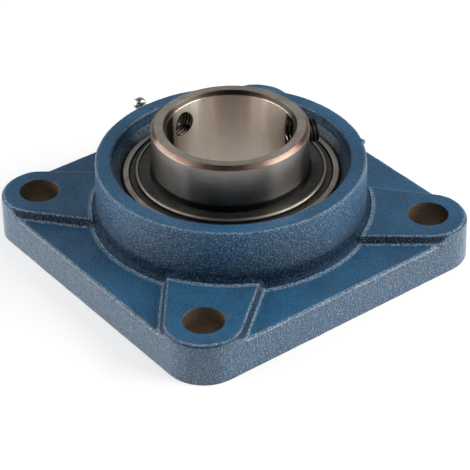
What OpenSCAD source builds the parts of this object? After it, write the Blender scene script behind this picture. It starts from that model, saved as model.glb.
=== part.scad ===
// four-bolt flange bearing: a square cast housing with a spherical seat, and
// a self-aligning ball bearing insert with an extended inner ring for a shaft
// origin at the middle of the mounting face, z along the shaft, sizes in mm

/* [Flange] */
// distance between the centres of neighbouring bolt holes
bolt_spacing = 111; // [110:1:114]
// length of one flat side of the square flange
flange_side = 143; // [140:1:146]
// diameter of each bolt hole
bolt_hole_d = 16; // [12:0.5:18]
// thickness of the flange at the bolt holes
lug_thickness = 18; // [16.5:0.5:20]
// thickness of the flange between the bolt holes
web_thickness = 14.5; // [12:0.5:15]
// angle by which each side of a bolt pad widens towards the boss
pad_taper = 2.5; // [0:0.5:4]
// radius of the rounded top edges of the casting
cast_edge = 0.8; // [0.6:0.2:1.8]

/* [Boss] */
// height of the boss rim above the mounting face
boss_height = 40; // [39:0.5:42]
// radial width of the rim around the mouth
rim_width = 6.5; // [5.5:0.1:7.3]
// amount by which the boss radius grows from the rim down to the flange
boss_draft = 0.7; // [0.2:0.1:1.2]
// radius of the fillet between boss and flange
boss_fillet = 3; // [1.5:0.5:4]
// radial step from the outer ring out to the wall of the mouth
mouth_step = 2.2; // [1.8:0.1:3]
// depth of the mouth down to its ledge
mouth_depth = 3.8; // [2.6:0.2:4.6]

/* [Seat] */
// height of the bearing centre above the mounting face
centre_height = 22; // [21.5:0.5:23]
// axial length of the spherical seat in the housing
seat_length = 22; // [20:0.5:23]
// radial running clearance between outer ring and seat
seat_clearance = 0.03; // [0.02:0.01:0.08]
// radial step from the outer ring out to the relief behind the seat
relief_step = 1; // [0.8:0.1:2]

/* [Rings] */
// diameter of the bore for the shaft
shaft_d = 50; // [49:0.5:51]
// radial wall of the inner ring
inner_wall = 6.2; // [6:0.1:6.4]
// overall length of the inner ring
inner_ring_length = 51.6; // [51:0.2:53]
// distance from the bearing centre to the front end of the inner ring
front_reach = 32.6; // [32:0.2:34]
// radius of the rounded outer edges of the inner ring
ring_edge = 1.4; // [0.6:0.2:1.6]
// radial size of the chamfers at the ends of the bore
bore_chamfer = 1.3; // [0.3:0.1:1.5]
// axial length of the chamfers at the ends of the bore
bore_chamfer_length = 1.7; // [0.5:0.1:2]
// axial width of the outer ring
outer_ring_width = 24; // [23.6:0.2:24.4]
// size of the chamfers on the outer ring
outer_chamfer = 0.7; // [0.3:0.1:0.9]
// radial wall of the outer ring outside the balls
outer_wall = 3.65; // [3.35:0.05:3.85]
// radial step from the shoulders of the outer ring out to the seal seats
seal_step = 1.75; // [1.55:0.05:1.95]

/* [Balls and cage] */
// diameter of each ball
ball_d = 12.7; // [12.3:0.1:12.8]
// depth of the raceway below the outside of the inner ring
groove_in = 2.55; // [2.3:0.05:2.8]
// clearance between a ball and the bottom of each raceway
race_clearance = 0.02; // [0.01:0.01:0.05]
// raceway radius as a share of the ball diameter
race_conformity = 0.52; // [0.515:0.005:0.54]
// depth of each raceway below the shoulders of the outer ring
shoulder_depth = 2.5; // [2.2:0.1:2.8]
// thickness of the cage sheet
cage_sheet = 0.8; // [0.5:0.1:0.9]
// radial width of the cage ribbon
cage_width = 4.2; // [3.6:0.2:4.8]
// clearance between a ball and its cage pocket
pocket_clearance = 0.15; // [0.1:0.05:0.25]
// diameter of the cage rivets
rivet_d = 1.4; // [1:0.1:1.8]

/* [Seals] */
// thickness of the steel seal shields
shield_sheet = 0.7; // [0.5:0.1:0.9]
// depth of the shield below the face of the outer ring
shield_depth = 0.4; // [0.3:0.1:0.6]
// radial depth of the groove that holds the shield
snap_depth = 0.45; // [0.3:0.05:0.6]
// radial width of the rubber lip that is bonded to the shield
lip_width = 2.6; // [2:0.1:3]
// gap between the rubber lip and the inner ring
lip_gap = 0.3; // [0.3:0.05:0.5]
// thickness of the slinger sheet
slinger_sheet = 0.5; // [0.4:0.1:0.6]
// radial width of the slinger outside the inner ring
slinger_width = 6.5; // [6.2:0.1:6.8]
// height of the slinger collar on the inner ring
slinger_collar = 2.9; // [2:0.1:3.2]
// axial gap between the outer ring face and the slinger
slinger_gap = 0.25; // [0.15:0.05:0.4]

/* [Set screws] */
// thread diameter of the set screws
screw_d = 10; // [8:0.5:10]
// length of a set screw
screw_length = 8.5; // [8:0.5:9.5]
// thread pitch of the set screws
screw_pitch = 1.5; // [1:0.25:1.5]
// distance from the front end of the inner ring to the screw axis
screw_inset = 9.8; // [9:0.1:10]
// depth of the screw tip below the surface of the bore at rest
screw_recess = 2.4; // [1.6:0.2:2.6]
// width across the flats of the hexagon socket
socket_width = 5; // [4:0.5:5]
// radial clearance between a screw and its tapped hole
screw_clearance = 0.05; // [0.03:0.01:0.1]

/* [Grease nipple] */
// tilt of the nipple away from the shaft direction
nipple_tilt = 45; // [40:1:50]
// height at which the grease hole opens into the seat
grease_height = 17; // [16.5:0.5:18]
// distance that the nipple pad stands out of the boss wall
pad_stand = 3; // [2:0.5:4]
// diameter of the nipple pad on the boss
nipple_pad_d = 11; // [10:0.5:12]
// thread diameter of the nipple
nipple_thread_d = 6; // [5:0.5:6]
// width across the flats of the nipple hexagon
nipple_hex = 7; // [7:0.5:8]
// height of the nipple above its pad
nipple_height = 11; // [10.5:0.5:12]
// diameter of the nipple head
nipple_head_d = 5.8; // [5.2:0.2:6.6]
// diameter of the check ball in the nipple
check_ball_d = 2; // [1.8:0.1:2.2]

/* [Hidden] */
$fn = 128;
ball_count = 10;
screw_angle_a = 71;
screw_angle_b = 191;
cut = 1;
sink = 0.05;

// sizes across the shaft follow one another outwards from the bore
bore_r = shaft_d / 2;
inner_r = bore_r + inner_wall;
ball_r = ball_d / 2;
pitch_r = inner_r - groove_in + ball_r;
sphere_r = pitch_r + ball_r + outer_wall;
mouth_r = sphere_r + mouth_step;
boss_r = mouth_r + rim_width;
boss_foot_r = boss_r + boss_draft;

corner_r = (flange_side - bolt_spacing) / 2;
hole_reach = bolt_spacing / 2;
pad_waist = 0.4;
ledge_z = boss_height - mouth_depth;

relief_r = sphere_r + relief_step;
seat_r = sphere_r + seat_clearance;
seat_low = centre_height - seat_length / 2;
seat_high = centre_height + seat_length / 2;
seat_end_r = sqrt(pow(seat_r, 2) - pow(seat_length / 2, 2));
groove_low = grease_height - 3.8;
groove_length = 5;
groove_depth = 0.8;

front_z = centre_height + front_reach;
chamfer_slope = bore_chamfer_length / bore_chamfer;
back_z = front_z - inner_ring_length;
half_width = outer_ring_width / 2;
face_r = sqrt(pow(sphere_r, 2) - pow(half_width, 2));

race_r = race_conformity * ball_d;
inner_race_x = pitch_r - ball_r - race_clearance + race_r;
outer_race_x = pitch_r + ball_r + race_clearance - race_r;
shoulder_r = pitch_r + ball_r - shoulder_depth;
seal_bore_r = shoulder_r + seal_step;
pocket_r = ball_r + pocket_clearance;
cage_low_r = pitch_r - cage_width / 2;
cage_high_r = pitch_r + cage_width / 2;
rivet_r = rivet_d / 2;

shield_top = half_width - shield_depth;
shield_low = shield_top - shield_sheet;
snap_top = half_width - 2.2;
snap_r = seal_bore_r + snap_depth;
snap_width = 0.8;
shield_play = 0.15;
shield_edge = 0.2;
lip_r = inner_r + lip_gap;
shield_in_r = lip_r + lip_width;
slinger_low = half_width + slinger_gap;
slinger_r = inner_r + slinger_width;
slinger_bead = 0.45;

screw_r = screw_d / 2;
screw_z = front_z - screw_inset;
screw_tip_r = bore_r + screw_recess;
thread_depth = 0.6 * screw_pitch;
cup_depth = 1.6;
turns = floor((screw_length - 2 * thread_depth) / screw_pitch);

grease_drill_r = 1.5;
nipple_reach = (boss_foot_r - seat_r) / sin(nipple_tilt) + pad_stand;
nipple_thread_length = 5.5;
nipple_r = nipple_thread_d / 2;
thread_play = 0.02;
hex_height = 3;
neck_r = 2.1;
head_length = 3.8;
check_r = check_ball_d / 2;
check_play = 0.06;
check_bore_r = check_r + check_play;
mouth_bore_r = check_r * 0.6;
check_seat = nipple_height - 1.2;
check_z = check_seat - sqrt(pow(check_bore_r, 2) - pow(mouth_bore_r, 2));
spring_wire_r = 0.16;
spring_turns = 5;
spring_play = 0.02;
spring_length = 3.4;
spring_r = check_r - spring_wire_r - 0.06;
spring_top = check_z - sqrt(pow(check_r, 2) - pow(spring_r - spring_wire_r, 2)) - spring_play;
spring_foot = spring_top - spring_length;

// shared shapes

module at_corners() {
    for (k = [0 : 3])
        rotate([0, 0, 90 * k])
            translate([hole_reach, -hole_reach, 0])
                children();
}

// half of a section with one rounded upper corner, for edges of the casting
module edged_section(reach, height, edge) {
    union() {
        square([reach - edge, height]);
        square([reach, height - edge]);
        translate([reach - edge, height - edge])
            circle(edge, $fn = 48);
    }
}

// a bar along y whose two long upper edges are rounded
module edged_bar(reach, height, length, edge) {
    translate([0, length / 2, 0])
        rotate([90, 0, 0])
            linear_extrude(length)
                union() {
                    edged_section(reach, height, edge);
                    mirror([1, 0])
                        edged_section(reach, height, edge);
                }
}

// what a rounded edge takes away from the corner of a section
module edge_waste(x, y, edge, side, up) {
    difference() {
        translate([x - (side > 0 ? edge : cut), y - (up > 0 ? edge : cut)])
            square(edge + cut);
        translate([x - side * edge, y - up * edge])
            circle(edge, $fn = 48);
    }
}

// places a child that points along z at the nipple, on the seat surface
module at_nipple(distance) {
    translate([-seat_r, 0, grease_height])
        rotate([0, -nipple_tilt, 0])
            translate([0, 0, distance])
                children();
}

// places a child that points along z on the outward axis of a set screw
module at_screw(angle, distance) {
    rotate([0, 0, angle])
        translate([distance, 0, screw_z])
            rotate([0, 90, 0])
                children();
}

// both ends of the insert are alike: a child for the front is mirrored to the back
module on_side(side) {
    translate([0, 0, centre_height])
        mirror([0, 0, side > 0 ? 0 : 1])
            children();
}

// housing

// a pad for one bolt: a round corner and two bars that spread towards the boss
module bolt_pad() {
    for (turn = [-1, 1])
        rotate([0, 0, 45 + turn * pad_taper])
            translate([0, hole_reach / 2, 0])
                edged_bar(corner_r - pad_waist, lug_thickness, hole_reach, cast_edge + pad_waist);
    rotate_extrude()
        edged_section(corner_r, lug_thickness, cast_edge);
}

module boss_section() {
    union() {
        polygon([
            [0, 0],
            [boss_foot_r, 0],
            [boss_foot_r, web_thickness],
            [boss_r, boss_height - cast_edge],
            [0, boss_height - cast_edge]
        ]);
        square([boss_r - cast_edge, boss_height]);
        translate([boss_r - cast_edge, boss_height - cast_edge])
            circle(cast_edge, $fn = 48);
    }
}

// ring of material in the corner between the boss wall and a flat face
module fillet_ring(level) {
    rotate_extrude()
        difference() {
            translate([boss_r - cut, level - cut])
                square([boss_draft + boss_fillet + cut, boss_fillet + cut]);
            translate([boss_foot_r + boss_fillet, level + boss_fillet - sink])
                circle(boss_fillet, $fn = 96);
        }
}

// everything that the insert, its seat and its mouth take out of the casting
module bore_section() {
    union() {
        translate([0, -cut])
            square([relief_r, seat_low - 2 + cut]);
        polygon([
            [0, seat_low - 2 - sink],
            [relief_r, seat_low - 2 - sink],
            [seat_end_r, seat_low + sink],
            [0, seat_low + sink]
        ]);
        intersection() {
            translate([0, centre_height])
                circle(seat_r, $fn = 256);
            translate([0, seat_low])
                square([seat_r + cut, seat_length]);
        }
        translate([seat_r - 2, groove_low])
            square([2 + groove_depth, groove_length]);
        polygon([
            [0, seat_high - sink],
            [seat_end_r, seat_high - sink],
            [mouth_r - 1.2, ledge_z],
            [mouth_r, ledge_z],
            [mouth_r, boss_height - 0.6],
            [mouth_r + 0.6 + cut, boss_height + cut],
            [0, boss_height + cut]
        ]);
    }
}

// two flats behind the seat let the outer ring in edge on, to be turned square
module loading_slots() {
    translate([0, 0, (centre_height - cut) / 2])
        cube([2 * seat_r + 0.4, outer_ring_width + 0.6, centre_height + cut], center = true);
}

module flange_housing() {
    color("steelblue")
        difference() {
            union() {
                edged_bar(flange_side / 2, web_thickness, bolt_spacing, cast_edge);
                rotate([0, 0, 90])
                    edged_bar(flange_side / 2, web_thickness, bolt_spacing, cast_edge);
                at_corners()
                    bolt_pad();
                rotate_extrude()
                    boss_section();
                fillet_ring(web_thickness);
                intersection() {
                    fillet_ring(lug_thickness);
                    at_corners()
                        rotate([0, 0, 45])
                            translate([0, hole_reach / 2, lug_thickness])
                                cube([2 * (corner_r - cast_edge), hole_reach, 2 * boss_fillet], center = true);
                }
                at_nipple(nipple_reach / 3)
                    cylinder(d = nipple_pad_d, h = nipple_reach * 2 / 3);
            }
            rotate_extrude()
                bore_section();
            loading_slots();
            at_corners()
                translate([0, 0, -cut])
                    cylinder(d = bolt_hole_d, h = lug_thickness + 2 * cut);
            at_nipple(-2)
                cylinder(r = grease_drill_r, h = nipple_reach);
            at_nipple(nipple_reach - nipple_thread_length - 1)
                cylinder(r = nipple_r, h = nipple_thread_length + 1 + cut);
        }
}

// insert rings

module outer_ring() {
    color("silver")
        translate([0, 0, centre_height])
            difference() {
                rotate_extrude()
                    difference() {
                        intersection() {
                            circle(sphere_r, $fn = 256);
                            translate([shoulder_r, -half_width])
                                square([sphere_r, outer_ring_width]);
                        }
                        translate([outer_race_x, 0])
                            circle(race_r);
                        for (s = [-1, 1]) {
                            translate([shoulder_r - cut, s > 0 ? snap_top - 1.2 : -half_width - cut])
                                square([seal_bore_r - shoulder_r + cut, half_width - snap_top + 1.2 + cut]);
                            translate([seal_bore_r - cut, s > 0 ? snap_top - 0.9 : -snap_top - 0.1])
                                square([snap_depth + cut, 1]);
                            polygon([
                                [face_r - outer_chamfer, s * (half_width + sink)],
                                [face_r + cut, s * (half_width + sink)],
                                [face_r + cut, s * (half_width - outer_chamfer)],
                                [face_r + outer_chamfer / 2, s * (half_width - outer_chamfer)]
                            ]);
                        }
                    }
                for (a = [0, 180])
                    rotate([0, 0, a])
                        translate([shoulder_r - cut, 0, grease_height - 2.4 - centre_height])
                            rotate([0, 90, 0])
                                cylinder(d = 2, h = sphere_r - shoulder_r + 2 * cut);
            }
}

module inner_ring() {
    color("lightgray")
        difference() {
            rotate_extrude()
                difference() {
                    translate([bore_r, back_z])
                        square([inner_r - bore_r, inner_ring_length]);
                    translate([inner_race_x, centre_height])
                        circle(race_r);
                    edge_waste(inner_r, front_z, ring_edge, 1, 1);
                    edge_waste(inner_r, back_z, ring_edge, 1, -1);
                    for (end = [[front_z, 1], [back_z, -1]])
                        polygon([
                            [bore_r - cut, end[0] - end[1] * (bore_chamfer_length + cut * chamfer_slope)],
                            [bore_r - cut, end[0] + end[1] * cut],
                            [bore_r + bore_chamfer + cut / chamfer_slope, end[0] + end[1] * cut]
                        ]);
                }
            for (a = [screw_angle_a, screw_angle_b])
                at_screw(a, bore_r - 2)
                    cylinder(r = screw_r + screw_clearance, h = inner_r - bore_r + 4);
        }
}

// balls and cage

module ball_at(k) {
    color("gainsboro")
        rotate([0, 0, 360 / ball_count * k])
            translate([pitch_r, 0, centre_height])
                sphere(ball_r);
}

module ball_01() { ball_at(0); }
module ball_02() { ball_at(1); }
module ball_03() { ball_at(2); }
module ball_04() { ball_at(3); }
module ball_05() { ball_at(4); }
module ball_06() { ball_at(5); }
module ball_07() { ball_at(6); }
module ball_08() { ball_at(7); }
module ball_09() { ball_at(8); }
module ball_10() { ball_at(9); }

module at_rivets() {
    for (k = [0 : ball_count - 1])
        rotate([0, 0, 360 / ball_count * (k + 0.5)])
            translate([pitch_r, 0, 0])
                children();
}

// one half of the ribbon cage: a flat ring pressed out around every ball
module cage_half() {
    difference() {
        intersection() {
            rotate_extrude()
                translate([cage_low_r, 0])
                    square([cage_width, pocket_r + cage_sheet + cut]);
            union() {
                cylinder(r = cage_high_r + cut, h = cage_sheet);
                for (k = [0 : ball_count - 1])
                    rotate([0, 0, 360 / ball_count * k])
                        translate([pitch_r, 0, 0])
                            sphere(pocket_r + cage_sheet);
            }
        }
        for (k = [0 : ball_count - 1])
            rotate([0, 0, 360 / ball_count * k])
                translate([pitch_r, 0, 0])
                    sphere(pocket_r);
        at_rivets()
            translate([0, 0, -cut])
                cylinder(r = rivet_r, h = cage_sheet + 2 * cut);
    }
}

module cage_front() {
    color("darkgray")
        on_side(1)
            cage_half();
}

module cage_back() {
    color("darkgray")
        on_side(-1)
            cage_half();
}

module cage_rivets() {
    color("gray")
        translate([0, 0, centre_height])
            at_rivets() {
                translate([0, 0, -cage_sheet])
                    cylinder(r = rivet_r, h = 2 * cage_sheet);
                for (s = [-1, 1])
                    translate([0, 0, s * (cage_sheet + 0.25)])
                        cylinder(r = 1.6 * rivet_r, h = 0.5, center = true);
            }
}

// seals and slingers

// steel disc with a turned-in rim that snaps into the groove of the outer ring
module seal_shield(side) {
    color("dimgray")
        on_side(side)
            rotate_extrude()
                polygon([
                    [shield_in_r, shield_low],
                    [seal_bore_r - shield_play - shield_sheet, shield_low],
                    [seal_bore_r - shield_play - shield_sheet, snap_top - snap_width],
                    [snap_r, snap_top - snap_width],
                    [snap_r, snap_top],
                    [seal_bore_r - shield_play, snap_top],
                    [seal_bore_r - shield_play, shield_top - shield_edge],
                    [seal_bore_r - shield_play - shield_edge, shield_top],
                    [shield_in_r, shield_top]
                ]);
}

module seal_shield_front() { seal_shield(1); }
module seal_shield_back() { seal_shield(-1); }

// rubber ring on the edge of the shield, thinned to a lip at the inner ring
module seal_lip(side) {
    color("black")
        on_side(side)
            rotate_extrude()
                polygon([
                    [lip_r, shield_low - 0.5],
                    [lip_r + 0.5, shield_low - 0.7],
                    [shield_in_r - 0.8, shield_low - 0.4],
                    [shield_in_r, shield_low - 0.4],
                    [shield_in_r, shield_top],
                    [shield_in_r - 0.9, shield_top],
                    [lip_r + 0.4, shield_low + 0.1]
                ]);
}

module seal_lip_front() { seal_lip(1); }
module seal_lip_back() { seal_lip(-1); }

// sheet flinger with a collar pressed on the inner ring and a bead at its rim
module slinger(side) {
    color("dimgray")
        on_side(side)
            rotate_extrude()
                union() {
                    translate([inner_r, slinger_low])
                        square([slinger_sheet, slinger_collar]);
                    translate([inner_r, slinger_low])
                        square([slinger_r - slinger_bead - inner_r, slinger_sheet]);
                    translate([slinger_r - slinger_bead, slinger_low + slinger_bead])
                        circle(slinger_bead, $fn = 48);
                }
}

module slinger_front() { slinger(1); }
module slinger_back() { slinger(-1); }

// set screws

module set_screw(angle) {
    color("black")
        at_screw(angle, screw_tip_r)
            difference() {
                rotate_extrude()
                    difference() {
                        square([screw_r, screw_length]);
                        polygon([
                            [screw_r - 2 * thread_depth, -cut],
                            [screw_r - 2 * thread_depth, 0],
                            [screw_r + cut, 2 * thread_depth + cut],
                            [screw_r + cut, -cut]
                        ]);
                        polygon([
                            [screw_r - thread_depth, screw_length],
                            [screw_r + cut, screw_length - thread_depth - cut],
                            [screw_r + cut, screw_length + cut],
                            [screw_r - thread_depth, screw_length + cut]
                        ]);
                        for (k = [1 : turns])
                            translate([screw_r, thread_depth + k * screw_pitch])
                                polygon([
                                    [cut, -0.8 * cut - 0.4 * screw_pitch],
                                    [cut, 0.8 * cut + 0.4 * screw_pitch],
                                    [0, 0.4 * screw_pitch],
                                    [-thread_depth, 0.06],
                                    [-thread_depth, -0.06],
                                    [0, -0.4 * screw_pitch]
                                ]);
                        polygon([
                            [-cut, -cut],
                            [cup_depth + cut, -cut],
                            [-cut, cup_depth]
                        ]);
                    }
                translate([0, 0, screw_length / 2])
                    rotate([0, 0, 30])
                        cylinder(d = socket_width / cos(30), h = screw_length / 2 + cut, $fn = 6);
            }
}

module set_screw_a() { set_screw(screw_angle_a); }
module set_screw_b() { set_screw(screw_angle_b); }

// grease nipple

module nipple_body() {
    color("gainsboro")
        at_nipple(nipple_reach)
            difference() {
                union() {
                    translate([0, 0, -nipple_thread_length])
                        cylinder(r = nipple_r - thread_play, h = nipple_thread_length);
                    cylinder(d = nipple_hex / cos(30), h = hex_height, $fn = 6);
                    rotate_extrude()
                        polygon([
                            [0, hex_height - 1],
                            [0.46 * nipple_hex, hex_height - 1],
                            [0.46 * nipple_hex, hex_height + 0.2],
                            [neck_r + 0.3, hex_height + 1],
                            [neck_r, nipple_height - head_length - 0.6],
                            [neck_r, nipple_height - head_length],
                            [nipple_head_d / 2, nipple_height - 2.6],
                            [nipple_head_d / 2, nipple_height - 1.8],
                            [nipple_head_d / 2 - 0.5, nipple_height - 0.8],
                            [1.5, nipple_height],
                            [0, nipple_height]
                        ]);
                }
                translate([0, 0, -nipple_thread_length - cut])
                    cylinder(r = check_bore_r, h = nipple_thread_length + cut + check_z);
                translate([0, 0, check_z])
                    intersection() {
                        sphere(check_bore_r);
                        translate([0, 0, check_r])
                            cube(2 * check_r + cut, center = true);
                    }
                cylinder(r = mouth_bore_r, h = nipple_height + cut);
            }
}

module nipple_ball() {
    color("silver")
        at_nipple(nipple_reach + check_z)
            sphere(check_r);
}

// level section of a coiled wire: its round section drawn out along the coil
module coil_section() {
    slope = (spring_top - spring_foot) / (spring_turns * 2 * PI * spring_r);
    reach = 180 / PI * spring_wire_r / sin(atan(slope)) / spring_r;
    polygon([
        for (t = [0 : 24 : 336])
            (spring_r + spring_wire_r * cos(t)) * [cos(reach * sin(t)), sin(reach * sin(t))]
    ]);
}

// coil with flat ends that holds the check ball against the mouth
module nipple_spring() {
    color("gray")
        at_nipple(nipple_reach + spring_foot)
            linear_extrude(spring_top - spring_foot, twist = -360 * spring_turns, slices = 40, $fn = 12)
                coil_section();
}

flange_housing();
outer_ring();
inner_ring();
ball_01();
ball_02();
ball_03();
ball_04();
ball_05();
ball_06();
ball_07();
ball_08();
ball_09();
ball_10();
cage_front();
cage_back();
cage_rivets();
seal_shield_front();
seal_shield_back();
seal_lip_front();
seal_lip_back();
slinger_front();
slinger_back();
set_screw_a();
set_screw_b();
nipple_body();
nipple_ball();
nipple_spring();
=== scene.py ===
import math

import bmesh
import bpy
from mathutils import Matrix, Vector


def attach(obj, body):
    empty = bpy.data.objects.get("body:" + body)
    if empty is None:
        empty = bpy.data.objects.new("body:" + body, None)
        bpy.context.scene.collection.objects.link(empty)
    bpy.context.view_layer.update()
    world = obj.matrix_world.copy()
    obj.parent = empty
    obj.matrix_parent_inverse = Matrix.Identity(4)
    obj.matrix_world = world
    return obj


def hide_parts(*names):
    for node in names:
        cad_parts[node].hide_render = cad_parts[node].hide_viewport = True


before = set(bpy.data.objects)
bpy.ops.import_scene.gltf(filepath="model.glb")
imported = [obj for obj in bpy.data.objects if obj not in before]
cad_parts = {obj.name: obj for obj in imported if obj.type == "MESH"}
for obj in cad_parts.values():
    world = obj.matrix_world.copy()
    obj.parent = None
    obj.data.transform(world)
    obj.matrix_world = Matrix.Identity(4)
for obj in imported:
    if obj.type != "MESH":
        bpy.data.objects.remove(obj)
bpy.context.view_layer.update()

millimetre = 0.001  # pieces are shaped in millimetres and made metres when they are finished


# helpers for shapes: each takes and gives a bmesh

def rounded(bm, geometry, offset, segments, affect):
    bmesh.ops.bevel(bm, geom=geometry, offset=offset, offset_type="OFFSET", segments=segments,
                    profile=0.5, affect=affect, material=-1)


def spun(bm, geometry, angle, steps, rise=0.0, closed=False):
    bmesh.ops.spin(bm, geom=geometry, cent=(0, 0, 0), axis=(0, 0, 1), dvec=(0, 0, rise),
                   angle=angle, steps=steps, use_merge=closed, use_duplicate=False)


def tidy(bm):
    bmesh.ops.remove_doubles(bm, verts=bm.verts, dist=0.0005)
    bmesh.ops.dissolve_degenerate(bm, edges=bm.edges, dist=0.0002)
    bmesh.ops.recalc_face_normals(bm, faces=bm.faces)
    return bm


def trimmed(bm, *cuts):
    # cut flat at each (height, side), where what lies on that side goes, and closed again
    for height, side in cuts:
        bmesh.ops.bisect_plane(bm, geom=bm.verts[:] + bm.edges[:] + bm.faces[:], dist=0.0001,
                               plane_co=(0, 0, height), plane_no=(0, 0, side), clear_outer=True)
    bmesh.ops.holes_fill(bm, edges=[edge for edge in bm.edges if edge.is_boundary], sides=0)
    return bm


def outline(points):
    # closed flat outline in the XZ plane, each point (radius, height) or
    # (radius, height, rounding, steps)
    bm = bmesh.new()
    corners = [bm.verts.new((point[0], 0, point[1])) for point in points]
    bm.faces.new(corners)
    for corner, point in zip(corners, points):
        if len(point) > 2:
            rounded(bm, [corner], point[2], point[3], "VERTICES")
    return bm


def turned(points, steps=192):
    # a full turn of an outline about Z
    bm = outline(points)
    bmesh.ops.delete(bm, geom=bm.faces[:], context="FACES_ONLY")
    spun(bm, bm.verts[:] + bm.edges[:], math.tau, steps, closed=True)
    return tidy(bm)


def turnedPart(points, start, sweep, steps):
    # part of a turn, closed by the outline at both ends
    bm = outline(points)
    bmesh.ops.rotate(bm, verts=bm.verts, cent=(0, 0, 0), matrix=Matrix.Rotation(start, 3, "Z"))
    spun(bm, bm.verts[:] + bm.edges[:] + bm.faces[:], sweep, steps)
    return tidy(bm)


def helix(tooth, pitch, length, turnSteps=36):
    # one pitch of a thread drawn out along its helix and trimmed flat at both ends
    bm = bmesh.new()
    corners = [bm.verts.new((radius, 0, height)) for radius, height in tooth]
    for low, high in zip(corners, corners[1:]):
        bm.edges.new((low, high))
    turns = math.ceil(length / pitch) + 2
    spun(bm, bm.verts[:] + bm.edges[:], math.tau * turns, turnSteps * turns, rise=pitch / turnSteps)
    bmesh.ops.remove_doubles(bm, verts=bm.verts, dist=0.002)
    trimmed(bm, (pitch, -1), (pitch + length, 1))
    bmesh.ops.translate(bm, verts=bm.verts, vec=(0, 0, -pitch))
    return tidy(bm)


def block(half, middle):
    bm = bmesh.new()
    bmesh.ops.create_cube(bm, size=2)
    bmesh.ops.scale(bm, verts=bm.verts, vec=half)
    bmesh.ops.translate(bm, verts=bm.verts, vec=middle)
    return bm


def hexagon(across, depth, middle):
    bm = bmesh.new()
    corner = across / 2 / math.cos(math.pi / 6)
    bmesh.ops.create_cone(bm, cap_ends=True, segments=6, radius1=corner, radius2=corner, depth=depth)
    bmesh.ops.translate(bm, verts=bm.verts, vec=(0, 0, middle))
    return bm


def placed(bm, matrix):
    bmesh.ops.transform(bm, matrix=matrix, verts=bm.verts)
    return bm


def joined(*parts):
    whole = bmesh.new()
    for part in parts:
        mesh = bpy.data.meshes.new("part")
        part.to_mesh(mesh)
        whole.from_mesh(mesh)
        bpy.data.meshes.remove(mesh)
        part.free()
    return whole


def workObject(bm):
    mesh = bpy.data.meshes.new("work")
    bm.to_mesh(mesh)
    bm.free()
    made = bpy.data.objects.new("work", mesh)
    bpy.context.scene.collection.objects.link(made)
    return made


def settled(made):
    # the mesh of a work object with its modifiers applied
    graph = bpy.context.evaluated_depsgraph_get()
    mesh = bpy.data.meshes.new_from_object(made.evaluated_get(graph))
    bm = bmesh.new()
    bm.from_mesh(mesh)
    bpy.data.meshes.remove(mesh)
    return bm


def machined(blank, cuts, operation="DIFFERENCE", solver="EXACT"):
    base = workObject(blank)
    tools = [workObject(cut) for cut in cuts]
    for tool in tools:
        step = base.modifiers.new("machining", "BOOLEAN")
        step.operation, step.solver, step.object = operation, solver, tool
    bm = settled(base)
    for used in [base] + tools:
        bpy.data.objects.remove(used)
    return bm


def finished(bm, name, body, nodes, finish, sharp):
    bmesh.ops.recalc_face_normals(bm, faces=bm.faces)
    bmesh.ops.scale(bm, verts=bm.verts, vec=(millimetre,) * 3)
    mesh = bpy.data.meshes.new(name)
    bm.to_mesh(mesh)
    bm.free()
    mesh.shade_smooth()
    mesh.set_sharp_from_angle(angle=math.radians(sharp))
    piece = bpy.data.objects.new(name, mesh)
    bpy.context.scene.collection.objects.link(piece)
    mesh.materials.append(finish.material)
    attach(piece, body)
    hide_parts(*nodes)
    print("made", name, len(mesh.polygons), "faces")


# helpers for finishes

def linear(screen):
    share = screen / 255
    return share / 12.92 if screen < 11 else ((share + 0.055) / 1.055) ** 2.4


def tone(red, green, blue):
    # a screen colour, 0 to 255, as the linear colour a shader takes
    return linear(red), linear(green), linear(blue), 1


class Wire:
    # one output in a node tree, so that sums on it can be written plainly
    def __init__(self, nodes, socket):
        self.nodes, self.socket = nodes, socket

    def math(self, operation, *values):
        return self.nodes.node("ShaderNodeMath", {"operation": operation}, dict(enumerate(values)))

    def __add__(self, other):
        return self.math("ADD", self, other)

    def __radd__(self, other):
        return self.math("ADD", other, self)

    def __sub__(self, other):
        return self.math("SUBTRACT", self, other)

    def __rsub__(self, other):
        return self.math("SUBTRACT", other, self)

    def __mul__(self, other):
        return self.math("MULTIPLY", self, other)

    def __rmul__(self, other):
        return self.math("MULTIPLY", other, self)

    def __abs__(self):
        return self.math("ABSOLUTE", self)

    def max(self, other):
        return self.math("MAXIMUM", self, other)

    def ramp(self, low, high, start=0.0, end=1.0):
        # a smooth step from start to end while the value goes from low to high
        return self.nodes.node("ShaderNodeMapRange", {"interpolation_type": "SMOOTHSTEP"},
                               {0: self, 1: low, 2: high, 3: start, 4: end})

    def within(self, low, high):
        # 1 below low, 0 above high
        return self.ramp(low, high, 1.0, 0.0)


class Nodes:
    # the node tree of one material
    def __init__(self, name):
        self.material = bpy.data.materials.new(name)
        self.material.use_nodes = True
        self.tree = self.material.node_tree
        self.tree.nodes.clear()

    def node(self, kind, settings, sockets, output=0):
        made = self.tree.nodes.new(kind)
        for key, value in settings.items():
            setattr(made, key, value)
        for key, value in sockets.items():
            if isinstance(value, Wire):
                self.tree.links.new(value.socket, made.inputs[key])
            else:
                made.inputs[key].default_value = value
        return Wire(self, made.outputs[output]) if len(made.outputs) else None


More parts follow.
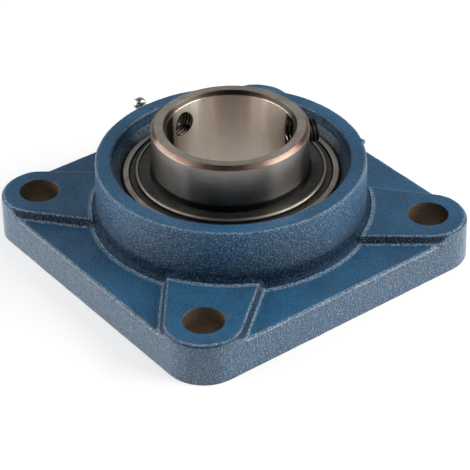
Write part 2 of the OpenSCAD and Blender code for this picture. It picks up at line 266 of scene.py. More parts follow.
class Finish(Nodes):
    # a principled shader, with the place on the piece in millimetres
    def __init__(self, name, **constants):
        super().__init__(name)
        surface = self.node("ShaderNodeBsdfPrincipled", {},
                            {key.replace("_", " "): value for key, value in constants.items()})
        self.shader = surface.socket.node
        self.node("ShaderNodeOutputMaterial", {}, {0: surface})
        metres = self.node("ShaderNodeTexCoord", {}, {}, "Object")
        self.place = self.node("ShaderNodeVectorMath", {"operation": "SCALE"},
                               {0: metres, 3: 1 / millimetre})
        self.x, self.y, self.z = (self.node("ShaderNodeSeparateXYZ", {}, {0: self.place}, axis)
                                  for axis in "XYZ")

    def noise(self, size, detail=3.0, roughness=0.55, place=None, warp=0.0):
        return self.node("ShaderNodeTexNoise", {},
                         {"Vector": place or self.place, "Scale": 1 / size, "Detail": detail,
                          "Roughness": roughness, "Distortion": warp}, "Fac")

    def cells(self, size):
        return self.node("ShaderNodeTexVoronoi", {}, {"Vector": self.place, "Scale": 1 / size},
                         "Distance")

    def vector(self, x, y, z):
        return self.node("ShaderNodeCombineXYZ", {}, {0: x, 1: y, 2: z})

    def vectorMath(self, operation, *values, output="Value"):
        return self.node("ShaderNodeVectorMath", {"operation": operation}, dict(enumerate(values)),
                         output)

    def stretched(self, across, along):
        # place with its own scale across X and Y, and along Z
        return self.vectorMath("MULTIPLY", self.place, (across, across, along), output="Vector")

    def radius(self, x=0.0, y=0.0):
        flat = self.vectorMath("MULTIPLY", self.place, (1, 1, 0), output="Vector")
        return self.vectorMath("DISTANCE", flat, (x, y, 0))

    def turnMarks(self, *place):
        # fine rings or lines as a tool leaves them, on a stretched place
        return self.noise(1, 3, 0.6, self.vector(*place))

    def mix(self, factor, low, high):
        return self.node("ShaderNodeMix", {"data_type": "RGBA"}, {0: factor, 6: low, 7: high}, 2)

    def bump(self, height, strength=1.0):
        # height in millimetres
        return self.node("ShaderNodeBump", {},
                         {"Height": height, "Strength": strength, "Distance": millimetre})

    def to(self, **wires):
        for socket, wire in wires.items():
            self.tree.links.new(wire.socket, self.shader.inputs[socket.replace("_", " ")])


def greatest(wires):
    whole = wires[0]
    for wire in wires[1:]:
        whole = whole.max(wire)
    return whole


def plainMetal(name, light, dark, smooth, dull, size, relief, metallic=1.0):
    # drawn, pressed or plated metal: cloudy tone, fine grain and small marks
    f = Finish(name, Metallic=metallic, IOR=2.0)
    cloud = f.noise(size * 6, 4, 0.6)
    grain = f.noise(size, 3, 0.6)
    marks = f.noise(size * 3, 2, 0.7, None, 1.5).ramp(0.62, 0.7)
    f.to(Base_Color=f.mix(cloud.ramp(0.35, 0.7), light, dark),
         Roughness=cloud.ramp(0.3, 0.7, smooth, dull) + marks * 0.08,
         Normal=f.bump(grain * relief - marks * relief, 0.8))
    return f


# housing: a sand casting, painted, with machined seat, holes and mounting face

corners = [(x, y) for x in (-1, 1) for y in (-1, 1)]
housing = {
    "side": 71.4, "draft": 0.2, "corner": 16, "web": 14.5, "pad": 18, "edge": 1.8, "under": -1.6,
    "barReach": 96, "barMiddle": 25.0, "barEnd": 15.1, "barRound": 15.0, "padSlope": 2.0, "padSunk": 0.2,
    "bossFoot": 54.4, "bossTop": 53.7, "rim": 40, "rimEdge": 0.8, "bossFillet": 3.1, "padFillet": 2.9,
    "filletHalf": 16,  # degrees that a pad's fillet runs each way around the boss
    "seatCentre": 22, "seatRadius": 45.03, "seatHalf": 11, "relief": 46, "reliefLow": 9, "reliefHigh": 36.2,
    "mouth": 47.2, "mouthChamfer": 2.0, "mouthTop": 39.4,
    "groove": 45.83, "grooveLow": 13.2, "grooveHigh": 18.2, "slot": (45.23, 12.3, 13), "slotMiddle": 9,
    "hole": 55.5, "holeRadius": 8, "holeChamfer": 1.35, "holeTop": 19.2,
    "nippleTilt": 45, "nippleHeight": 17, "nipplePad": 5.5, "nipplePadAt": 16.4,
    "greaseDrill": 1.5, "greaseStep": 9.75, "greaseThread": 3, "greaseFace": 16.25,
    "nub": (23.6, 48.4, 39.0), "nubRadius": 1.2,
    "voxel": 0.6, "kept": 0.6, "sand": ((2.6, 0.16), (9.0, 0.22)),  # cloud size and swell
}
paint = {
    # sides is a paler grey-blue for the outer sides, a painted sheen
    "blue": tone(46, 100, 138), "deep": tone(38, 86, 120), "sides": tone(66, 96, 120),
    "paleGrainAndHighlight": tone(156, 174, 186), "hollow": tone(8, 26, 44),  # tops and hollows of the grain, partly the grain's own tone and partly painted glints and shade
    "bossFootShade": tone(12, 30, 46), "padFlankShade": tone(12, 46, 74),  # painted shade at the foot of the boss, painted shade on the flanks of the pads
    "iron": tone(120, 104, 86), "dull": tone(88, 74, 60), "rust": tone(116, 80, 52),
    "grain": 0.82, "sand": 0.72, "beads": 0.75, "coarse": 1.7, "lumps": 5.5, "shade": 24,
    "chip": (71.4, 22, 10),
}


def castingPaint():
    f = Finish("paintedCasting", IOR=1.5, Coat_IOR=1.5, Coat_Roughness=0.28)
    p = paint
    up = f.node("ShaderNodeSeparateXYZ", {}, {0: f.node("ShaderNodeTexCoord", {}, {}, "Normal")}, "Z")
    wall = abs(up).within(0.55, 0.9)
    radius = f.radius()
    # how far a spot lies outside the square of bolt holes: the outer sides get more coat and a paler
    # grey-blue, a painted sheen
    past = [(abs(way) - housing["hole"]).max(0.0) for way in (f.x, f.y)]
    outer = f.vectorMath("LENGTH", f.vector(*past, 0.0)).ramp(14.6, 15.4) * wall
    # rounded edges, and a line along the foot of the boss, which get pale beads over the sand, a painted
    # highlight
    boss = radius.within(57.8, 58.6) * f.z.within(30, 34)
    flank = f.z.ramp(14.9, 15.4) * f.z.within(17.1, 17.7)
    flank = flank * up.ramp(0.3, 0.5) * up.within(0.68, 0.78) * (1 - boss)
    fillet = radius.ramp(50, 52) * radius.within(55.9, 56.2) * f.z.within(20, 23)
    # a painted highlight line along the foot of the boss
    footHighlight = radius.ramp(55.8, 56.1) * radius.within(57.3, 57.8) * up.ramp(0.6, 0.8) * f.z.ramp(13, 14)
    edge = up.ramp(0.3, 0.5) * up.within(0.93, 0.975) * (1 - boss) * (1 - flank)
    edge = (edge * (1 - fillet)).max(footHighlight)
    grain = f.cells(p["grain"]).within(0.12, 0.6)
    sand = f.noise(p["sand"], 2, 0.6)
    coarse = f.noise(p["coarse"], 3, 0.6)
    beads = f.noise(p["beads"], 3, 0.7).ramp(0.4, 0.6)
    lumps = f.noise(p["lumps"], 3, 0.5)
    shade = f.noise(p["shade"], 4, 0.6)
    # bare metal: the bolt holes, the seat under the mouth, the mounting face
    hole = greatest([f.radius(housing["hole"] * x, housing["hole"] * y).within(8.02, 8.2)
                     for x, y in corners])
    seat = radius.within(46.3, 46.5) * f.z.within(33.0, 33.2)
    bare = hole.max(seat).max(f.z.within(0.04, 0.12))
    colour = f.mix(shade.ramp(0.36, 0.66), p["deep"], p["blue"])
    # the outer sides are painted a paler grey-blue, a painted sheen
    colour = f.mix(outer * 0.4, colour, p["sides"])
    # painted shade: the walls and fillets around the boss go darker towards their foot
    low = wall.max(fillet) * (1 - outer) * f.z.within(16, 38) * radius.ramp(50, 52)
    colour = f.mix(low * 0.88, colour, p["bossFootShade"])
    # the pad flanks are painted deep navy, a painted shade
    colour = f.mix(flank * 0.66, colour, p["padFlankShade"])
    inside = radius.within(47.6, 48.6)
    # pale tops of the grain: partly their own tone, partly painted glints, stronger on the walls
    pale = grain * sand.ramp(0.44, 0.58) * (1 - inside * 0.7)
    pale = pale * (wall * (1 - flank) * (1 - low) * 0.42 + 0.14)
    # the pale grain tops, and the painted highlight beads on the edges and the boss foot
    colour = f.mix(pale.max(edge * beads * 0.7), colour, p["paleGrainAndHighlight"])
    # dark hollows of the grain: partly their own tone, partly painted shade, stronger on the walls
    colour = f.mix((1 - grain) * sand.ramp(0.55, 0.42) * (wall * 0.5 + 0.24), colour, p["hollow"])
    # specks of rust, and the chip on the right side
    speck = f.noise(0.8, 2).ramp(0.72, 0.77) * f.noise(17, 2).ramp(0.52, 0.62)
    chip = f.vectorMath("DISTANCE", f.place, p["chip"]).within(0.6, 1.8) * coarse.ramp(0.35, 0.5)
    colour = f.mix(speck.max(chip) * 0.8, colour, p["rust"])
    rings = f.noise(1, 2, 0.5, f.stretched(0.08, 3.0))
    iron = f.mix((rings * 0.5 + sand * 0.5).ramp(0.35, 0.65), p["dull"], p["iron"])
    iron = f.mix(f.noise(3.5, 4, 0.65).ramp(0.52, 0.7) * 0.6, iron, p["rust"])
    colour = f.mix(bare, colour, iron)
    dull = flank.max(fillet)
    rough = f.noise(2.2, 3, 0.6).ramp(0.3, 0.7, 0.3, 0.46) * (1 - bare) + bare * 0.5 + dull * 0.25
    skin = grain * (wall * 0.12 + 0.07) + sand * (wall * 0.12 + 0.06) + coarse * (wall * 0.08 + 0.1)
    skin = skin + lumps * 0.12 + edge * beads * 0.12
    f.to(Base_Color=colour, Roughness=rough,
         Metallic=(bare * 0.6).max(flank * 0.45).max(fillet * 0.8),
         Coat_Weight=(1 - bare) * (1 - dull) * (outer * 0.55 + 0.15),
         Normal=f.bump(skin * (1 - bare) + (rings * 0.03 + sand * 0.05) * bare, 1.0))
    return f


def slab(top):
    h = housing
    bm = block((h["side"], h["side"], (top - h["under"]) / 2), (0, 0, (top + h["under"]) / 2))
    upright = [edge for edge in bm.edges if abs(edge.verts[0].co.z - edge.verts[1].co.z) > 1]
    rounded(bm, upright, h["corner"], 20, "EDGES")
    upper = [vert for vert in bm.verts if vert.co.z > top - 0.1]
    shrink = 1 - h["draft"] / h["side"]
    bmesh.ops.scale(bm, verts=upper, vec=(shrink, shrink, 1))
    rim = [edge for edge in bm.edges if all(vert.co.z > top - 0.1 for vert in edge.verts)]
    rounded(bm, rim, h["edge"], 3, "EDGES")
    return tidy(bm)


def padBars():
    # two long bars across the corners, wide in the middle and round at the ends, with sloping flanks
    h = housing
    start = 4  # height at which the bars begin, inside the web
    bars = []
    for quarter in (1, -1):
        bm = bmesh.new()
        reach, end, middle = h["barReach"], h["barEnd"], h["barMiddle"]
        plan = [(reach, end), (0, middle), (-reach, end), (-reach, -end), (0, -middle), (reach, -end)]
        around = [bm.verts.new((x, y, start)) for x, y in plan]
        bm.faces.new(around)
        rounded(bm, [vert for vert in around if abs(vert.co.x) > 1], h["barRound"], 10, "VERTICES")
        grown = bmesh.ops.extrude_face_region(bm, geom=bm.faces[:], use_keep_orig=True)["geom"]
        upper = [item for item in grown if isinstance(item, bmesh.types.BMFace)]
        verts = [item for item in grown if isinstance(item, bmesh.types.BMVert)]
        bmesh.ops.translate(bm, verts=verts, vec=(0, 0, h["web"] - start - h["padSunk"]))
        bmesh.ops.recalc_face_normals(bm, faces=bm.faces)
        bmesh.ops.inset_region(bm, faces=upper, thickness=h["padSlope"],
                               depth=h["pad"] - h["web"] + h["padSunk"], use_even_offset=True)
        bmesh.ops.rotate(bm, verts=bm.verts, cent=(0, 0, 0),
                         matrix=Matrix.Rotation(quarter * math.pi / 4, 3, "Z"))
        bars.append(tidy(bm))
    return bars


def tiltedPlace(distance=0.0):
    # along the axis of the grease hole, from the seat outwards
    h = housing
    return (Matrix.Translation((-h["seatRadius"], 0, h["nippleHeight"]))
            @ Matrix.Rotation(math.radians(-h["nippleTilt"]), 4, "Y")
            @ Matrix.Translation((0, 0, distance)))


def castBlank():
    h = housing
    boss = turned([(0, h["under"]), (60, h["under"]), (60, h["web"]),
                   (h["bossFoot"], h["web"], h["bossFillet"], 6),
                   (h["bossTop"], h["rim"], h["rimEdge"], 4), (0, h["rim"])], 128)
    pads = [machined(slab(h["pad"]), [bar], "INTERSECT") for bar in padBars()]
    fillet = [(48, 15), (58, 15), (58, h["pad"]), (h["bossFoot"] - 0.1, h["pad"], h["padFillet"], 6),
              (54, 26), (48, 26)]
    fillets = [turnedPart(fillet, math.radians(45 + 90 * quarter - h["filletHalf"]),
                          math.radians(2 * h["filletHalf"]), 16) for quarter in range(4)]
    pad = h["nipplePad"]
    nipplePad = placed(turned([(0, -11), (pad, -11), (pad, 0, 0.5, 3), (0, 0)], 48),
                       tiltedPlace(h["nipplePadAt"]))
    nub = bmesh.new()
    bmesh.ops.create_icosphere(nub, subdivisions=2, radius=h["nubRadius"])
    bmesh.ops.translate(nub, verts=nub.verts, vec=h["nub"])
    return joined(slab(h["web"]), boss, nipplePad, nub, *pads, *fillets)


def castSkin(bm):
    # fuse the blank, soften it as a sand mould does and roughen it
    rough = workObject(bm)
    fuse = rough.modifiers.new("fuse", "REMESH")
    fuse.mode, fuse.voxel_size, fuse.adaptivity = "VOXEL", housing["voxel"], 0
    soften = rough.modifiers.new("soften", "SMOOTH")
    soften.factor, soften.iterations = 0.5, 4
    for size, depth in housing["sand"]:
        sand = bpy.data.textures.new("sand", "CLOUDS")
        sand.noise_scale, sand.noise_depth = size, 2
        swell = rough.modifiers.new("sand", "DISPLACE")
        swell.texture, swell.strength, swell.mid_level, swell.texture_coords = sand, depth, 0.5, "LOCAL"
    rough.modifiers.new("thin", "DECIMATE").ratio = housing["kept"]
    skin = settled(rough)
    bpy.data.objects.remove(rough)
    return tidy(trimmed(skin, (0, -1)))


def housingCuts():
    h = housing
    below = -3  # every cut starts this far under the mounting face
    middle, sphere, half = h["seatCentre"], h["seatRadius"], h["seatHalf"]
    end = math.sqrt(sphere * sphere - half * half)
    point = sphere * sphere / end  # where the tangents at both ends of the seat meet
    reach = math.hypot(point - end, half) - 0.01
    top = h["mouthTop"] + h["mouthChamfer"]
    bore = turned([(0, below), (h["relief"], below), (h["relief"], h["reliefLow"]), (end, middle - half),
                   (point, middle, reach, 20), (end, middle + half), (h["relief"], h["reliefHigh"]),
                   (h["mouth"], h["reliefHigh"], 0.25, 2), (h["mouth"], h["mouthTop"]),
                   (h["mouth"] + h["mouthChamfer"], top), (0, top)], 224)
    groove = turned([(40, h["grooveLow"]), (h["groove"], h["grooveLow"]),
                     (h["groove"], h["grooveHigh"]), (40, h["grooveHigh"])], 128)
    slots = block(h["slot"], (0, 0, h["slotMiddle"]))
    holeTop, wide = h["holeTop"], h["holeRadius"] + h["holeChamfer"]
    hole = [(0, below), (h["holeRadius"], below), (h["holeRadius"], holeTop - h["holeChamfer"]),
            (wide, holeTop), (0, holeTop)]
    holes = [placed(turned(hole, 72), Matrix.Translation((h["hole"] * x, h["hole"] * y, 0)))
             for x, y in corners]
    drill, thread, face = h["greaseDrill"], h["greaseThread"], h["greaseFace"]
    grease = turned([(0, below), (drill, below), (drill, h["greaseStep"]), (thread, h["greaseStep"]),
                     (thread, face), (7.5, face), (7.5, 22), (0, 22)], 48)
    return [bore, groove, slots, joined(*holes), placed(grease, tiltedPlace())]


print("casting the housing")
finished(machined(castSkin(castBlank()), housingCuts(), solver="MANIFOLD"), "castHousing", "housing",
         ["flange_housing"], castingPaint(), 38)


# inner ring: ground steel with a honed bore and two tapped holes

ring = {
    "bore": 25, "outside": 31.2, "front": 54.6, "back": 3.0, "edge": 1.45, "chamfer": (1.3, 1.7),
    "raceCentre": 35.234, "raceRadius": 6.604, "seatCentre": 22,
    "screwHeight": 44.8, "screwAngles": {"a": 71, "b": 191}, "pitch": 1.5,
    "tap": [(5.05, 0), (5.05, 0.4), (5.4, 0.8), (5.4, 0.9), (5.05, 1.3), (5.05, 1.5)],
    "tapFrom": 22, "tapDepth": 12,
}
steel = {
    "wall": tone(138, 134, 128), "bore": tone(212, 202, 191), "face": tone(208, 200, 186),
    "edge": tone(154, 132, 118), "straw": tone(150, 104, 94),  # the outer chamfer
    "stain": tone(120, 104, 92), "scale": tone(76, 62, 52), "dark": tone(60, 54, 48),
}


def ringSteel():
    f = Finish("groundSteel", Metallic=1.0, IOR=2.5, Anisotropic=0.9, Anisotropic_Rotation=0.25)
    radius = f.radius()
    bore = radius.within(25.05, 25.3)
    face = f.z.ramp(54.3, 54.5).max(f.z.within(3.1, 3.3))
    around = f.noise(1, 3, 0.6, f.stretched(0.05, 5.0))
    along = f.noise(1, 4, 0.65, f.stretched(4.0, 0.04))
    rings = f.turnMarks(radius * 5.0, radius * 0.0, f.z * 0.05)
    marks = (around * 0.4 + along * 0.6) * (1 - bore) * (1 - face)
    marks = marks + along * bore + rings * face * (1 - bore)
    cloud = f.noise(9, 4, 0.6)
    colour = f.mix(bore, f.mix(face, steel["wall"], steel["face"]), steel["bore"])
    # the outer chamfer took a straw tint in hardening; the inner ones are painted dark in the scale tone, a
    # painted dark reflection
    edge = radius.ramp(29.7, 29.9) * f.z.ramp(53.05, 53.3)
    tint = f.mix(f.noise(7, 3, 0.6).ramp(0.45, 0.62), steel["edge"], steel["straw"])
    colour = f.mix(edge, colour, tint)
    chamfer = f.z.ramp(52.95, 53.15) * f.z.within(54.45, 54.55) * radius.within(26.3, 26.45)
    # threads of the tapped holes, made darker
    tapped = []
    for angle in ring["screwAngles"].values():
        turn = math.radians(angle)
        across = f.vectorMath("DOT_PRODUCT", f.place, (-math.sin(turn), math.cos(turn), 0))
        ahead = f.vectorMath("DOT_PRODUCT", f.place, (math.cos(turn), math.sin(turn), 0))
        out = f.vectorMath("LENGTH", f.vector(across, f.z - ring["screwHeight"], 0.0))
        tapped.append(out.within(5.45, 5.5) * ahead.ramp(1, 2))
    tapped = greatest(tapped) * radius.ramp(25.15, 25.3)
    stain = f.noise(4, 5, 0.7).ramp(0.6, 0.75) * 0.4
    colour = f.mix(stain, colour, steel["stain"])
    # random scale over the ring, the inner chamfers painted dark as a painted dark reflection, and the
    # tapped threads made darker
    scale = (cloud.ramp(0.4, 0.7) * (1 - bore) * 0.25).max(chamfer * 0.8).max(tapped * 0.85)
    colour = f.mix(scale, colour, steel["scale"])
    # the honed bore is painted dark where it is seen along its surface, a painted shade
    grazeShade = f.node("ShaderNodeLayerWeight", {}, {"Blend": 0.5}, "Facing").ramp(0.53, 0.6)
    colour = f.mix(grazeShade * bore, colour, steel["dark"])
    rough = marks.ramp(0.25, 0.75, 0.22, 0.28) + bore * 0.045
    rough = rough + stain * 0.08 + chamfer * 0.25 + edge * 0.16
    f.to(Base_Color=colour, Roughness=rough, Normal=f.bump(marks * 0.002, 0.6))
    return f


def screwPlace(angle, distance):
    return (Matrix.Rotation(math.radians(angle), 4, "Z")
            @ Matrix.Translation((distance, 0, ring["screwHeight"]))
            @ Matrix.Rotation(math.pi / 2, 4, "Y"))


def raceway(centre, radius, wall, z):
    # where the tangents at both lips of a raceway meet, and how long they are
    half = math.sqrt(radius * radius - (wall - centre) ** 2)
    point = centre + radius * radius / (wall - centre)
    reach = math.hypot(point - wall, half) - 0.01
    return (wall, z - half), (point, z, reach, 14), (wall, z + half)


def innerRing():
    g = ring
    lowLip, groove, highLip = raceway(g["raceCentre"], g["raceRadius"], g["outside"], g["seatCentre"])
    across, deep = g["chamfer"]
    blank = turned([(g["bore"], g["back"] + deep), (g["bore"] + across, g["back"], 0.2, 2),
                    (g["outside"] - g["edge"], g["back"], 0.3, 3),
                    (g["outside"], g["back"] + g["edge"], 0.3, 3), lowLip, groove, highLip,
                    (g["outside"], g["front"] - g["edge"], 0.3, 3),
                    (g["outside"] - g["edge"], g["front"], 0.3, 3),
                    (g["bore"] + across, g["front"], 0.25, 3),
                    (g["bore"], g["front"] - deep, 0.2, 2)], 224)
    taps = [placed(helix(g["tap"], g["pitch"], g["tapDepth"]), screwPlace(angle, g["tapFrom"]))
            for angle in g["screwAngles"].values()]
    return machined(blank, taps)


print("turning the rings")
finished(innerRing(), "wideInnerRing", "shaft_ring", ["inner_ring"], ringSteel(), 30)


# outer ring: round outside, with grooves for the shields

outer = {
    "sphere": 45, "half": 12, "shoulder": 11.3, "swell": 0.23, "chamfer": 0.62,
    "lip": 38.85, "lipEnd": 8.6, "end": 40.6, "groove": 41.05, "grooveLow": 8.9, "grooveHigh": 9.9,
    "raceCentre": 34.766, "raceRadius": 6.604,
    "light": tone(206, 198, 186), "dark": tone(176, 166, 152), "gapShade": tone(40, 36, 32),
}


def outerSteel():
    f = Finish("outerRingSteel", Metallic=1.0, IOR=2.5)
    rings = f.turnMarks(f.radius() * 5.0, f.z * 0.1, f.z * 0.1)
    colour = f.mix(f.noise(6, 4, 0.6).ramp(0.4, 0.7), outer["light"], outer["dark"])
    # the outer edge and the round outside are painted dark, a painted shade in the gap to the housing
    colour = f.mix(f.radius().ramp(42.55, 42.75) * 0.9, colour, outer["gapShade"])
    f.to(Base_Color=colour, Roughness=rings.ramp(0.25, 0.75, 0.32, 0.5),
         Normal=f.bump(rings * 0.015, 0.8))
    return f


def otherEnd(points):
    # the same outline at the back of the insert
    return [(p[0], 2 * ring["seatCentre"] - p[1], *p[2:]) for p in reversed(points)]


def outerRing():
    o = outer
    z = ring["seatCentre"]
    lowLip, groove, highLip = raceway(o["raceCentre"], o["raceRadius"], o["lip"], z)
    face = math.sqrt(o["sphere"] ** 2 - o["half"] ** 2)
    point = o["sphere"] ** 2 / (face + o["swell"])
    reach = math.hypot(point - face - o["swell"], o["shoulder"]) - 0.02
    front = [(o["end"], z + o["half"]), (o["end"], z + o["grooveHigh"]), (o["groove"], z + o["grooveHigh"]),
             (o["groove"], z + o["grooveLow"]), (o["end"], z + o["grooveLow"]),
             (o["end"], z + o["lipEnd"]), (o["lip"], z + o["lipEnd"], 0.4, 2)]
    return turned([*front, highLip, groove, lowLip, *otherEnd(front),
                   (face - o["chamfer"], z - o["half"], 0.15, 2), (face + o["swell"], z - o["shoulder"]),
                   (point, z, reach, 24), (face + o["swell"], z + o["shoulder"]),
                   (face - o["chamfer"], z + o["half"], 0.15, 2)], 224)


finished(outerRing(), "roundedOuterRing", "insert", ["outer_ring"], outerSteel(), 30)


# shields and slingers: blackened sheet, the same at both ends of the insert

slinger = {"inner": 31.2, "low": 34.25, "high": 34.75, "bead": 35.25, "outer": 37.85, "collar": 37.15,
           "beadFrom": 36.75}
shield = {"inner": 34.1, "low": 32.9, "high": 33.6, "outer": 40.15, "step": 39.75, "groove": 41.05,
          "grooveLow": 31.0, "grooveHigh": 31.8, "beadFrom": 59.5}  # a shield has no bead
# the pale bead colour is a painted highlight
sheet = {"light": tone(90, 88, 83), "dark": tone(74, 73, 70), "bead": tone(186, 178, 166),
         "gapShade": tone(14, 14, 14)}


def blackSheet(name, beadFrom):
    f = Finish(name, IOR=1.6, Anisotropic=0.7, Anisotropic_Rotation=0.25)
    radius = f.radius()
    bead = radius.ramp(beadFrom, beadFrom + 0.3)
    rings = f.turnMarks(radius * 4.0, f.z * 0.2, f.z * 0.1)
    colour = f.mix(f.noise(4, 4, 0.6).ramp(0.35, 0.7), sheet["dark"], sheet["light"])
    # the bead is painted pale, a painted highlight
    colour = f.mix(bead, colour, sheet["bead"])
    # the collar and inner part of the sheet are painted near black, a painted shadow where the slinger
    # meets the inner ring
    colour = f.mix(radius.ramp(31.9, 32.3, 0.95, 0.0), colour, sheet["gapShade"])
    f.to(Base_Color=colour, Roughness=rings.ramp(0.25, 0.75, 0.32, 0.42) + bead * 0.06,
         Metallic=bead * 0.1 + 0.85, Normal=f.bump(rings * 0.004 + f.noise(0.6, 2) * 0.004, 0.8))
    return f


def slingerOutline():
    s = slinger
    return [(s["inner"], s["low"], 0.35, 3), (37.0, s["low"]), (s["outer"], s["low"], 0.42, 5),
            (s["outer"], s["bead"], 0.55, 7), (36.6, s["bead"], 0.5, 6), (36.5, s["high"], 0.2, 2),
            (31.7, s["high"], 0.3, 4), (31.7, s["collar"], 0.15, 2), (s["inner"], s["collar"])]


def shieldOutline():
    s = shield
    return [(s["inner"], s["low"]), (s["step"], s["low"], 0.2, 2), (s["step"], s["grooveLow"]),
            (s["groove"], s["grooveLow"], 0.1, 2), (s["groove"], s["grooveHigh"], 0.1, 2),
            (s["outer"], s["grooveHigh"]), (s["outer"], s["high"], 0.35, 4),
            (s["inner"], s["high"], 0.1, 2)]


slingerBlack = blackSheet("blackSlinger", slinger["beadFrom"])
shieldBlack = blackSheet("blackShield", shield["beadFrom"])
for end, shape in (("front", list), ("back", otherEnd)):
    finished(turned(shape(slingerOutline())), end + "Slinger", "shaft_ring", ["slinger_" + end],
             slingerBlack, 40)
    finished(turned(shape(shieldOutline())), end + "Shield", "insert", ["seal_shield_" + end],
             shieldBlack, 40)


# set screws: cup point, hexagon socket and a real thread

screw = {
    "length": 8.5, "tip": 27.4, "outside": 5.1, "cup": 1.6, "point": 3.4, "lead": 0.8,
    "socket": 5, "socketDepth": 4.25,
    "tooth": [(4.15, 0), (4.15, 0.2), (4.96, 0.66), (4.96, 0.84), (4.15, 1.3), (4.15, 1.5)],
    "light": tone(40, 40, 42), "dark": tone(24, 24, 26),
}


def setScrew(angle):
    s = screw
    length = s["length"]
    thread = helix(s["tooth"], ring["pitch"], length)
    blank = turned([(0, s["cup"]), (s["cup"], 0), (s["point"], 0), (s["outside"], 1.7),
                    (s["outside"], length - s["lead"]), (4.3, length), (0, length)], 64)
    socket = hexagon(s["socket"], s["socketDepth"] + 1, length - s["socketDepth"] / 2 + 0.5)
    mouth = turned([(0, length - 0.5), (2.5, length - 0.5), (3.2, length + 0.2), (0, length + 0.2)], 48)
    threaded = machined(blank, [thread], "INTERSECT")
    return placed(machined(threaded, [socket, mouth]), screwPlace(angle, s["tip"]))


oxide = plainMetal("blackOxide", screw["light"], screw["dark"], 0.3, 0.46, 0.5, 0.02, 0.6)
for letter, angle in ring["screwAngles"].items():
    finished(setScrew(angle), "setScrew" + letter.upper(), "screw_" + letter, ["set_screw_" + letter],
             oxide, 30)


# grease nipple: bright plated stem and hexagon

nipple = {"reach": 16.25, "across": 7, "hexHeight": 3, "hexRound": 4.4, "passage": 1.06, "mouth": 0.6,
          "light": tone(232, 230, 222), "dark": tone(200, 196, 184)}


def greaseNipple():
    n = nipple
    passage, mouth, top = n["passage"], n["mouth"], n["hexHeight"]
    stem = turned([(passage, -5.5), (2.7, -5.5), (2.98, -5.2), (2.98, -0.6), (2.5, -0.3),
                   (2.5, 3.6, 0.3, 3), (2.1, 4.6), (2.1, 7.0, 0.3, 3), (2.9, 8.3, 0.35, 4),
                   (2.9, 9.3, 0.4, 4), (2.1, 10.6, 0.4, 3), (1.5, 11, 0.15, 2), (mouth, 11, 0.15, 2),
                   (mouth, 9.8), (passage, 9.0)], 64)
    lens = turned([(0, -1), (3.6, -1), (n["hexRound"], 0.4), (n["hexRound"], top - 0.5), (3.5, top),
                   (0, top)], 64)
    nut = machined(hexagon(n["across"], top, top / 2), [lens], "INTERSECT")
    nut = machined(nut, [turned([(0, -1), (passage, -1), (passage, 4), (0, 4)], 48)])
    return placed(machined(stem, [nut], "UNION"), tiltedPlace(n["reach"]))


zinc = plainMetal("brightZinc", nipple["light"], nipple["dark"], 0.2, 0.32, 0.5, 0.01)
finished(greaseNipple(), "greaseNipple", "housing", ["nipple_body"], zinc, 30)


# inner pieces that keep their own shape and get a finish

def lipRubber():
    f = Finish("lipRubber", Metallic=0.0, IOR=1.5)
    f.to(Base_Color=f.mix(f.noise(2, 3).ramp(0.35, 0.7), tone(20, 20, 20), tone(34, 33, 32)),
         Roughness=f.noise(1.5, 3).ramp(0.3, 0.7, 0.5, 0.68), Normal=f.bump(f.noise(0.4, 2) * 0.02, 0.8))
    return f


ballSteel = plainMetal("polishedBall", tone(190, 190, 188), tone(170, 170, 170), 0.08, 0.14, 0.4, 0.002)
cageSteel = plainMetal("pressedSheet", tone(150, 150, 148), tone(122, 121, 118), 0.34, 0.46, 0.5, 0.01)
rivetSteel = plainMetal("rivetSteel", tone(140, 140, 138), tone(104, 103, 100), 0.3, 0.44, 0.4, 0.01)
springSteel = plainMetal("springWire", tone(160, 160, 158), tone(120, 120, 118), 0.26, 0.36, 0.2, 0.004)
rubber = lipRubber()
inner = {"nipple_ball": ballSteel, "nipple_spring": springSteel, "cage_front": cageSteel,
         "cage_back": cageSteel, "cage_rivets": rivetSteel, "seal_lip_front": rubber,
         "seal_lip_back": rubber}
inner.update({name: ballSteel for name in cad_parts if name.startswith("ball_")})
for name, finish in inner.items():
    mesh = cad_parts[name].data
    mesh.materials.clear()
    mesh.materials.append(finish.material)
print("finishes given to", len(inner), "inner pieces")


# camera, floor and light

view = {"place": (0.534694, -0.400448, 0.468976), "towards": (-0.65515, 0.49235, -0.57304),
        "roll": -0.0195, "lens": 154.02, "sensor": 36, "near": 0.01, "far": 50}
floor = {"half": 6, "under": 0.0002, "colour": (0.6, 0.6, 0.6, 1), "glow": 0.56}
air = {"colour": (0.95, 0.98, 1.0, 1), "strength": 0.04}
lamps = {
    "rightPanel": {"place": (0.634, 0.634, 0.42), "size": (0.95, 0.66), "power": 12.8},
    "leftPanel": {"place": (-0.586, -0.73, 0.28), "size": (1.2, 0.56), "power": 9.7},
    "rightTop": {"place": (0.522, 0.229, 0.83), "size": (0.7, 0.22), "power": 1.15},
    "leftTop": {"place": (-0.26, -0.52, 0.83), "size": (0.7, 0.22), "power": 1.0},
    "backPanel": {"place": (-0.66, 0.5, 0.58), "size": (1.2, 0.8), "power": 0.9},
}


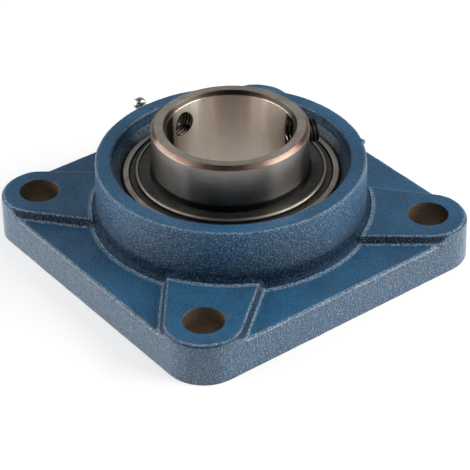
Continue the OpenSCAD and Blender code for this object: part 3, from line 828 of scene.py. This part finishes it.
def addCamera():
    towards = Vector(view["towards"]).normalized()
    right = towards.cross(Vector((0, 0, 1))).normalized()
    up = right.cross(towards)
    turn = Matrix.Rotation(view["roll"], 3, -towards)
    right, up = turn @ right, turn @ up
    data = bpy.data.cameras.new("camera")
    data.lens, data.sensor_width = view["lens"], view["sensor"]
    data.clip_start, data.clip_end = view["near"], view["far"]
    camera = bpy.data.objects.new("camera", data)
    matrix = Matrix((right, up, -towards)).transposed().to_4x4()
    matrix.translation = Vector(view["place"])
    camera.matrix_world = matrix
    bpy.context.scene.collection.objects.link(camera)
    bpy.context.scene.camera = camera


def paleFloor():
    # plain where light falls on it, with a glow that only the camera and mirror rays see
    f = Nodes("paleFloor")
    plain = f.node("ShaderNodeBsdfDiffuse", {}, {"Color": floor["colour"]})
    glow = f.node("ShaderNodeEmission", {}, {"Strength": floor["glow"]})
    both = f.node("ShaderNodeAddShader", {}, {0: plain, 1: glow})
    seen = greatest([f.node("ShaderNodeLightPath", {}, {}, "Is " + kind + " Ray")
                     for kind in ("Camera", "Glossy", "Transmission")])
    f.node("ShaderNodeOutputMaterial", {},
           {0: f.node("ShaderNodeMixShader", {}, {0: seen, 1: plain, 2: both})})
    return f


def addFloor():
    bm = bmesh.new()
    bmesh.ops.create_grid(bm, x_segments=8, y_segments=8, size=floor["half"])
    mesh = bpy.data.meshes.new("floor")
    bm.to_mesh(mesh)
    bm.free()
    mesh.materials.append(paleFloor().material)
    made = bpy.data.objects.new("floor", mesh)
    made.location.z = -floor["under"]
    bpy.context.scene.collection.objects.link(made)


def addLight():
    for name, lamp in lamps.items():
        data = bpy.data.lights.new(name, "AREA")
        data.shape, data.size, data.size_y, data.energy = "RECTANGLE", *lamp["size"], lamp["power"]
        made = bpy.data.objects.new(name, data)
        made.location = lamp["place"]
        made.rotation_mode = "QUATERNION"
        made.rotation_quaternion = (-Vector(lamp["place"])).to_track_quat("-Z", "Y")
        bpy.context.scene.collection.objects.link(made)
    world = bpy.data.worlds.new("studio")
    bpy.context.scene.world = world
    world.use_nodes = True
    background = world.node_tree.nodes["Background"].inputs
    background["Color"].default_value = air["colour"]
    background["Strength"].default_value = air["strength"]


addCamera()
addFloor()
addLight()
bpy.context.scene.view_settings.view_transform = "Standard"
print("stage set")

bpy.context.view_layer.update()
